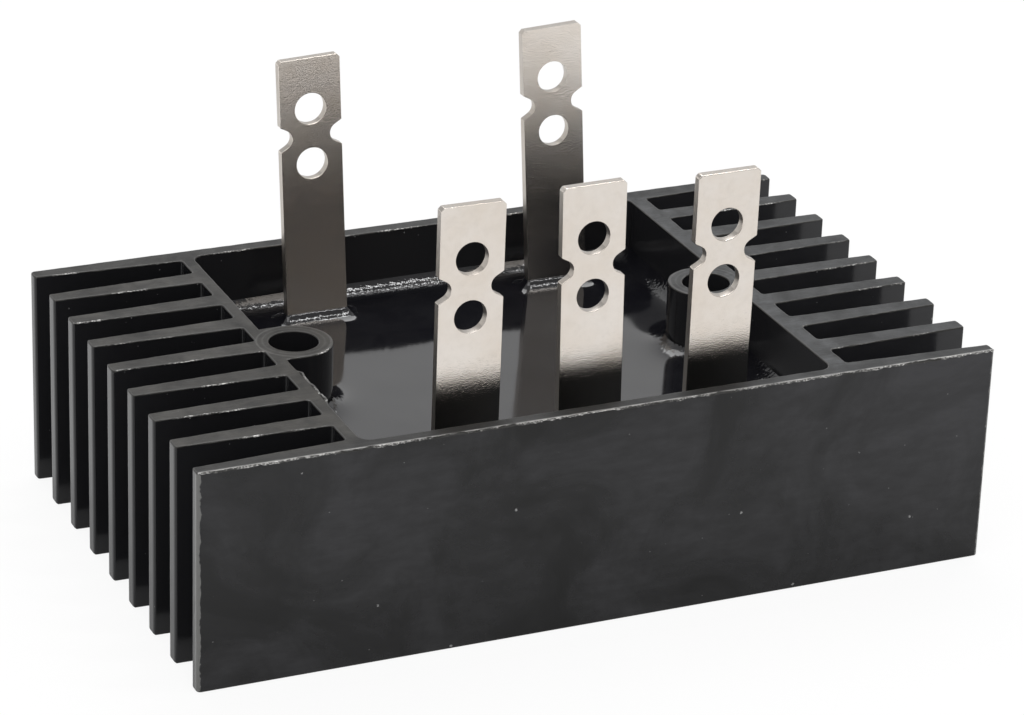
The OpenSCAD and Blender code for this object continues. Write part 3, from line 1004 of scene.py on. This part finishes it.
class RECTIFIER_OT_base(bpy.types.Operator):
    """Build the base plate with a rounded rim"""

    bl_idname = "rectifier.base"
    bl_label = "Base Plate"

    def execute(self, context):
        sizes, _, _ = settings()
        bm = merged_solid("base_plate")
        round_edges(bm, sharp_edges(bm, SHARP), sizes.rim_round, 2)
        obj = new_object("base_plate_finish", bm)
        metal = grained_finish(
            "Bare aluminium", (0.62, 0.61, 0.6), 0.32, 1.0, 1.0, stretch=(0.06, 3.0, 3.0), depth=0.25
        )
        obj.data.materials.append(metal)
        finish_mesh(obj, math.radians(40))
        stand_in(obj, "base_plate")
        return {"FINISHED"}


class RECTIFIER_OT_circuit(bpy.types.Operator):
    """Give the sealed circuit its materials"""

    bl_idname = "rectifier.circuit"
    bl_label = "Sealed Circuit"

    def execute(self, context):
        copper = grained_finish("Copper", (0.72, 0.36, 0.2), 0.34, 1.0, 1.4)
        alumina = grained_finish("Alumina", (0.86, 0.85, 0.8), 0.6, 0.0, 2.0)
        silicon = grained_finish("Silicon", (0.2, 0.21, 0.25), 0.22, 0.6, 3.0)
        gel = grained_finish("Silicone gel", (0.78, 0.79, 0.8), 0.3, 0.0, 0.5, depth=0.05)
        gel.node_tree.nodes["Principled BSDF"].inputs["Subsurface Weight"].default_value = 0.4
        coats = {node: copper for node in COPPER_NODES}
        coats.update({node: silicon for node in CHIP_NODES})
        coats["ceramic_substrate"] = alumina
        coats["silicone_gel"] = gel
        for node, material in coats.items():
            for slot in frame["nodes"][node].material_slots:
                slot.material = material
        return {"FINISHED"}


# ---- stage ------------------------------------------------------------------------


class RECTIFIER_OT_stage(bpy.types.Operator):
    """Set the floor, the lamps, the world and the camera"""

    bl_idname = "rectifier.stage"
    bl_label = "Stage"

    # Each lamp's place, its width and depth, and its share of the lamp power
    lamps = {
        "Back lamp": ((0.2, 0.55, 0.95), (0.9, 0.6), 1.0),
        "Front lamp": ((-0.3, -0.4, 0.95), (0.9, 0.6), 0.7),
        "Small lamp 1": ((0.285, -0.19, 0.79), (0.05, 0.24), 0.13),
        "Small lamp 2": ((0.285, 0.11, 0.81), (0.05, 0.12), 0.05),
    }
    lamp_target = Vector((0, 0, 0.02))
    floor_size = 3.0
    floor_drop = 0.05 * MM
    # How far the floor shows white to the camera, and the share of that in reflections
    floor_white = 0.9
    floor_in_reflections = 0.36
    # Brightness of the studio's walls in reflections, and how it grows along each axis
    wall_level = 0.67
    wall_slopes = (("Y", 0.34), ("X", 0.13))

    def execute(self, context):
        _, colours, view = settings()
        context.scene.view_settings.view_transform = "Standard"
        self.floor(colours)
        self.world(view)
        for name, (place, size, share) in self.lamps.items():
            self.lamp(name, place, size, view.lamp_power * share)
        self.camera(view)
        return {"FINISHED"}

    def floor(self, colours):
        """A wide pale floor, just under the object, that keeps its shadow"""
        bm = bmesh.new()
        bmesh.ops.create_grid(bm, x_segments=4, y_segments=4, size=self.floor_size)
        bmesh.ops.translate(bm, vec=(0, 0, -self.floor_drop), verts=bm.verts)
        floor = new_object("floor", bm)
        f = Finish("Pale floor")
        cloud = f.noise(0.01, detail=2.0)
        dull = tuple(c * 0.985 for c in colours.floor)
        f.set(base_color=f.mix(f.ramp(cloud, 0.3, 0.7), dull, tuple(colours.floor)), roughness=0.9)
        f.set(specular_ior_level=0.0)
        self.whiten(f)
        floor.data.materials.append(f.material)

    def seen(self, tree, in_reflections=1.0):
        """1 for what the camera sees, directly or through, a share in reflections, 0 for light"""
        path = tree.nodes.new("ShaderNodeLightPath")
        total = path.outputs["Is Camera Ray"]
        for name, share in (("Is Glossy Ray", in_reflections), ("Is Transmission Ray", 1.0)):
            add = tree.nodes.new("ShaderNodeMath")
            add.operation = "MULTIPLY_ADD"
            add.use_clamp = True
            add.inputs[1].default_value = share
            tree.links.new(path.outputs[name], add.inputs[0])
            tree.links.new(total, add.inputs[2])
            total = add.outputs[0]
        return total

    def whiten(self, f):
        """Lets the floor show white, with part of its shadow"""
        part = f.times(self.seen(f.tree, self.floor_in_reflections), self.floor_white)
        white = f.node("ShaderNodeEmission")
        white.inputs["Strength"].default_value = 1.0
        mix = f.node("ShaderNodeMixShader")
        f.link(part, mix.inputs[0])
        f.link(f.shader.outputs[0], mix.inputs[1])
        f.link(white.outputs[0], mix.inputs[2])
        f.link(mix.outputs[0], f.tree.nodes["Material Output"].inputs["Surface"])

    def world(self, view):
        """A white studio to the camera and to reflections, and a plain soft light for the rest"""
        world = bpy.data.worlds.new("Studio")
        bpy.context.scene.world = world
        world.use_nodes = True
        tree = world.node_tree
        tree.nodes.clear()
        room = tree.nodes.new("ShaderNodeBackground")
        room.inputs["Strength"].default_value = view.room_light
        white = tree.nodes.new("ShaderNodeBackground")
        tree.links.new(self.wall_brightness(tree), white.inputs["Strength"])
        mix = tree.nodes.new("ShaderNodeMixShader")
        out = tree.nodes.new("ShaderNodeOutputWorld")
        tree.links.new(self.seen(tree), mix.inputs[0])
        tree.links.new(room.outputs[0], mix.inputs[1])
        tree.links.new(white.outputs[0], mix.inputs[2])
        tree.links.new(mix.outputs[0], out.inputs["Surface"])
        for shade in (room, white):
            shade.inputs["Color"].default_value = (1, 1, 1, 1)

    def wall_brightness(self, tree):
        """The studio's walls are white behind the object and dimmer in front of it"""
        place = tree.nodes.new("ShaderNodeTexCoord")
        split = tree.nodes.new("ShaderNodeSeparateXYZ")
        tree.links.new(place.outputs["Generated"], split.inputs["Vector"])
        total = None
        for axis, share in self.wall_slopes:
            part = tree.nodes.new("ShaderNodeMath")
            part.operation = "MULTIPLY_ADD"
            part.use_clamp = True
            tree.links.new(split.outputs[axis], part.inputs[0])
            part.inputs[1].default_value = share
            if total is None:
                part.inputs[2].default_value = self.wall_level
            else:
                tree.links.new(total, part.inputs[2])
            total = part.outputs[0]
        return total

    def lamp(self, name, place, size, power):
        """A soft rectangular lamp that looks at the object"""
        data = bpy.data.lights.new(name, "AREA")
        data.shape = "RECTANGLE"
        data.size, data.size_y = size
        data.energy = power
        lamp = bpy.data.objects.new(name, data)
        lamp.location = place
        aim = self.lamp_target - Vector(place)
        lamp.rotation_euler = aim.to_track_quat("-Z", "Y").to_euler()
        bpy.context.collection.objects.link(lamp)

    def camera(self, view):
        """The camera, placed by its own stand point and angles"""
        data = bpy.data.cameras.new("Camera")
        data.lens = view.lens
        data.sensor_width = 36.0
        data.clip_start = 0.01
        data.clip_end = 20.0
        camera = bpy.data.objects.new("Camera", data)
        turn = Euler((math.pi / 2 - view.elevation, 0, view.azimuth), "XYZ").to_matrix()
        turn = turn @ Matrix.Rotation(view.roll, 3, "Z")
        camera.matrix_world = Matrix.Translation(Vector(view.place)) @ turn.to_4x4()
        bpy.context.collection.objects.link(camera)
        bpy.context.scene.camera = camera


# ---- panel and registration -------------------------------------------------------


STEPS = (
    RECTIFIER_OT_stage,
    RECTIFIER_OT_frame,
    RECTIFIER_OT_resin,
    RECTIFIER_OT_terminals,
    RECTIFIER_OT_base,
    RECTIFIER_OT_circuit,
)


class RECTIFIER_PT_panel(bpy.types.Panel):
    """Lists the pieces of the module and their settings"""

    bl_idname = "RECTIFIER_PT_panel"
    bl_label = "Bridge Rectifier"
    bl_space_type = "VIEW_3D"
    bl_region_type = "UI"
    bl_category = "Rectifier"

    def draw(self, context):
        for step in STEPS:
            self.layout.operator(step.bl_idname)
        for group in settings():
            for name in group.__annotations__:
                self.layout.prop(group, name)


CLASSES = (RectifierSizes, RectifierColours, RectifierView, *STEPS, RECTIFIER_PT_panel)


def register():
    for item in CLASSES:
        bpy.utils.register_class(item)
    bpy.types.Scene.rectifier_sizes = PointerProperty(type=RectifierSizes)
    bpy.types.Scene.rectifier_colours = PointerProperty(type=RectifierColours)
    bpy.types.Scene.rectifier_view = PointerProperty(type=RectifierView)


def unregister():
    del bpy.types.Scene.rectifier_view
    del bpy.types.Scene.rectifier_colours
    del bpy.types.Scene.rectifier_sizes
    for item in reversed(CLASSES):
        bpy.utils.unregister_class(item)


def main():
    """Builds everything"""
    register()
    bpy.ops.rectifier.stage()
    bpy.ops.rectifier.frame()
    bpy.ops.rectifier.resin()
    bpy.ops.rectifier.terminals()
    bpy.ops.rectifier.base()
    bpy.ops.rectifier.circuit()


if __name__ == "__main__":
    main()
